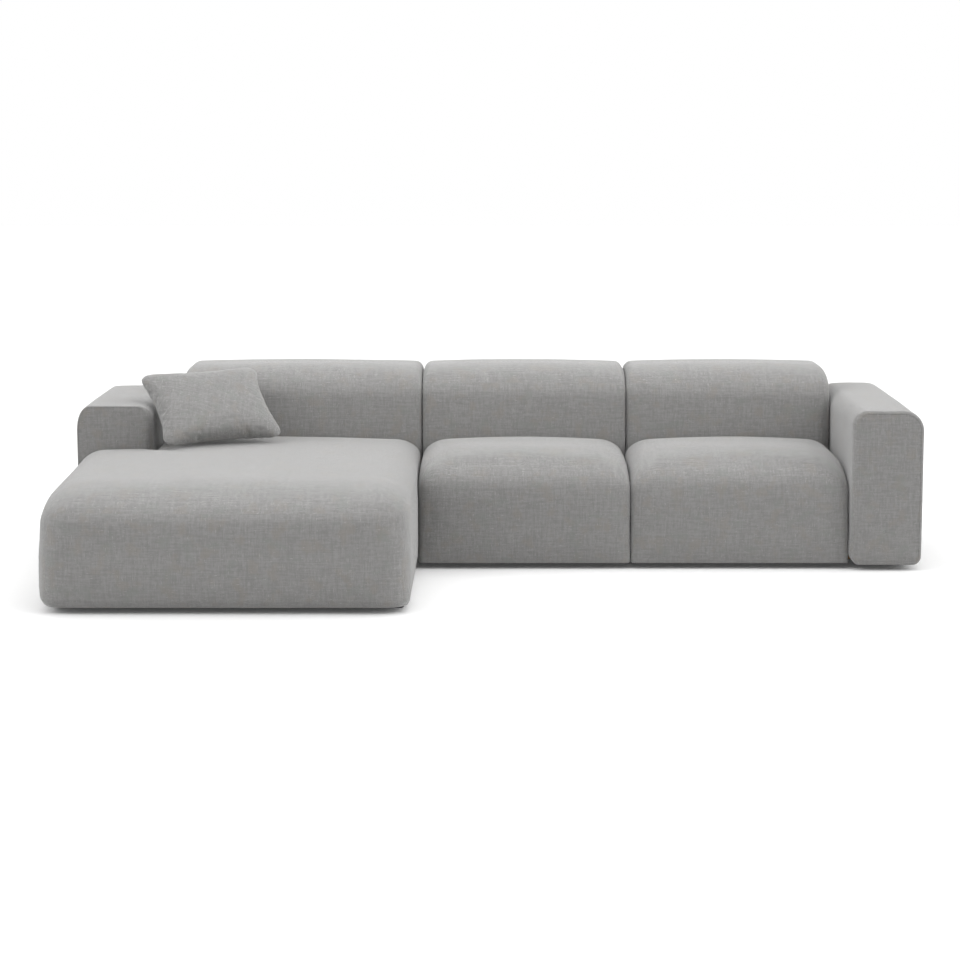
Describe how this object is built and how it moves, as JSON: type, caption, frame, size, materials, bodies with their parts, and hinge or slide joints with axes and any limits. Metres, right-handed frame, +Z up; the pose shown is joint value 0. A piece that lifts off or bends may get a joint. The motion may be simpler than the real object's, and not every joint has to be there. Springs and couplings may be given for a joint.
{
  "type": "corner sofa",
  "caption": "Low modular corner sofa with a long chaise seat, upholstered backs and arms, hooked elements and a loose scatter cushion.",
  "frame": {"origin": "on the floor, in the middle of the footprint's bounding box", "axes": "+X runs to the right of someone who faces the sofa's front, +Y towards the backs, +Z up"},
  "size_m": [3.1778, 1.8699, 0.7],
  "materials": {
    "fabric": "woven warm grey melange upholstery fabric",
    "timber": "planed solid timber",
    "plywood": "sanded plywood",
    "webbing": "woven elastic webbing",
    "dust_cloth": "thin black non-woven cloth",
    "plastic": "matt black moulded plastic",
    "steel": "zinc-plated steel"
  },
  "bodies": {
    "sofa": {"catch_pin_1": "steel", "catch_pin_2": "steel", "catch_pin_3": "steel", "catch_pin_4": "steel", "chaise_arm": "fabric", "chaise_arm_bearer": "timber", "chaise_arm_frame": "plywood", "chaise_back": "fabric", "chaise_back_frame": "plywood", "chaise_cross_rail": "timber", "chaise_dust_cloth": "dust_cloth", "chaise_front_rail": "timber", "chaise_glide_1": "plastic", "chaise_glide_2": "plastic", "chaise_glide_3": "plastic", "chaise_glide_4": "plastic", "chaise_left_rail": "timber", "chaise_rear_rail": "timber", "chaise_right_rail": "timber", "chaise_seat": "fabric", "chaise_webbing": "webbing", "middle_back": "fabric", "middle_back_frame": "plywood", "middle_cross_rail": "timber", "middle_dust_cloth": "dust_cloth", "middle_front_rail": "timber", "middle_glide_1": "plastic", "middle_glide_2": "plastic", "middle_glide_3": "plastic", "middle_glide_4": "plastic", "middle_left_rail": "timber", "middle_rear_rail": "timber", "middle_right_rail": "timber", "middle_seat": "fabric", "middle_webbing": "webbing", "right_arm": "fabric", "right_arm_bearer": "timber", "right_arm_frame": "plywood", "right_back": "fabric", "right_back_frame": "plywood", "right_cross_rail": "timber", "right_dust_cloth": "dust_cloth", "right_front_rail": "timber", "right_glide_1": "plastic", "right_glide_2": "plastic", "right_glide_3": "plastic", "right_glide_4": "plastic", "right_left_rail": "timber", "right_rear_rail": "timber", "right_right_rail": "timber", "right_seat": "fabric", "right_webbing": "webbing"},
    "hook_1": {"hook_1": "steel"},
    "hook_2": {"hook_2": "steel"},
    "hook_3": {"hook_3": "steel"},
    "hook_4": {"hook_4": "steel"},
    "scatter_cushion": {"scatter_cushion": "fabric"}
  },
  "joints": [
    {"name": "hook_1_swing", "type": "hinge", "parent": "sofa", "child": "hook_1", "pos_m": [-0.3235, 0.235, 0.0221], "axis": [0, 0, 1], "range_deg": [0, 95]},
    {"name": "hook_2_swing", "type": "hinge", "parent": "sofa", "child": "hook_2", "pos_m": [-0.3235, 0.655, 0.0221], "axis": [0, 0, 1], "range_deg": [0, 95]},
    {"name": "hook_3_swing", "type": "hinge", "parent": "sofa", "child": "hook_3", "pos_m": [0.4675, 0.235, 0.0221], "axis": [0, 0, 1], "range_deg": [0, 95]},
    {"name": "hook_4_swing", "type": "hinge", "parent": "sofa", "child": "hook_4", "pos_m": [0.4675, 0.655, 0.0221], "axis": [0, 0, 1], "range_deg": [0, 95]},
    {"name": "scatter_cushion_lift", "type": "slide", "parent": "sofa", "child": "scatter_cushion", "axis": [0, 0, 1], "range_m": [0, 0.6]}
  ]
}
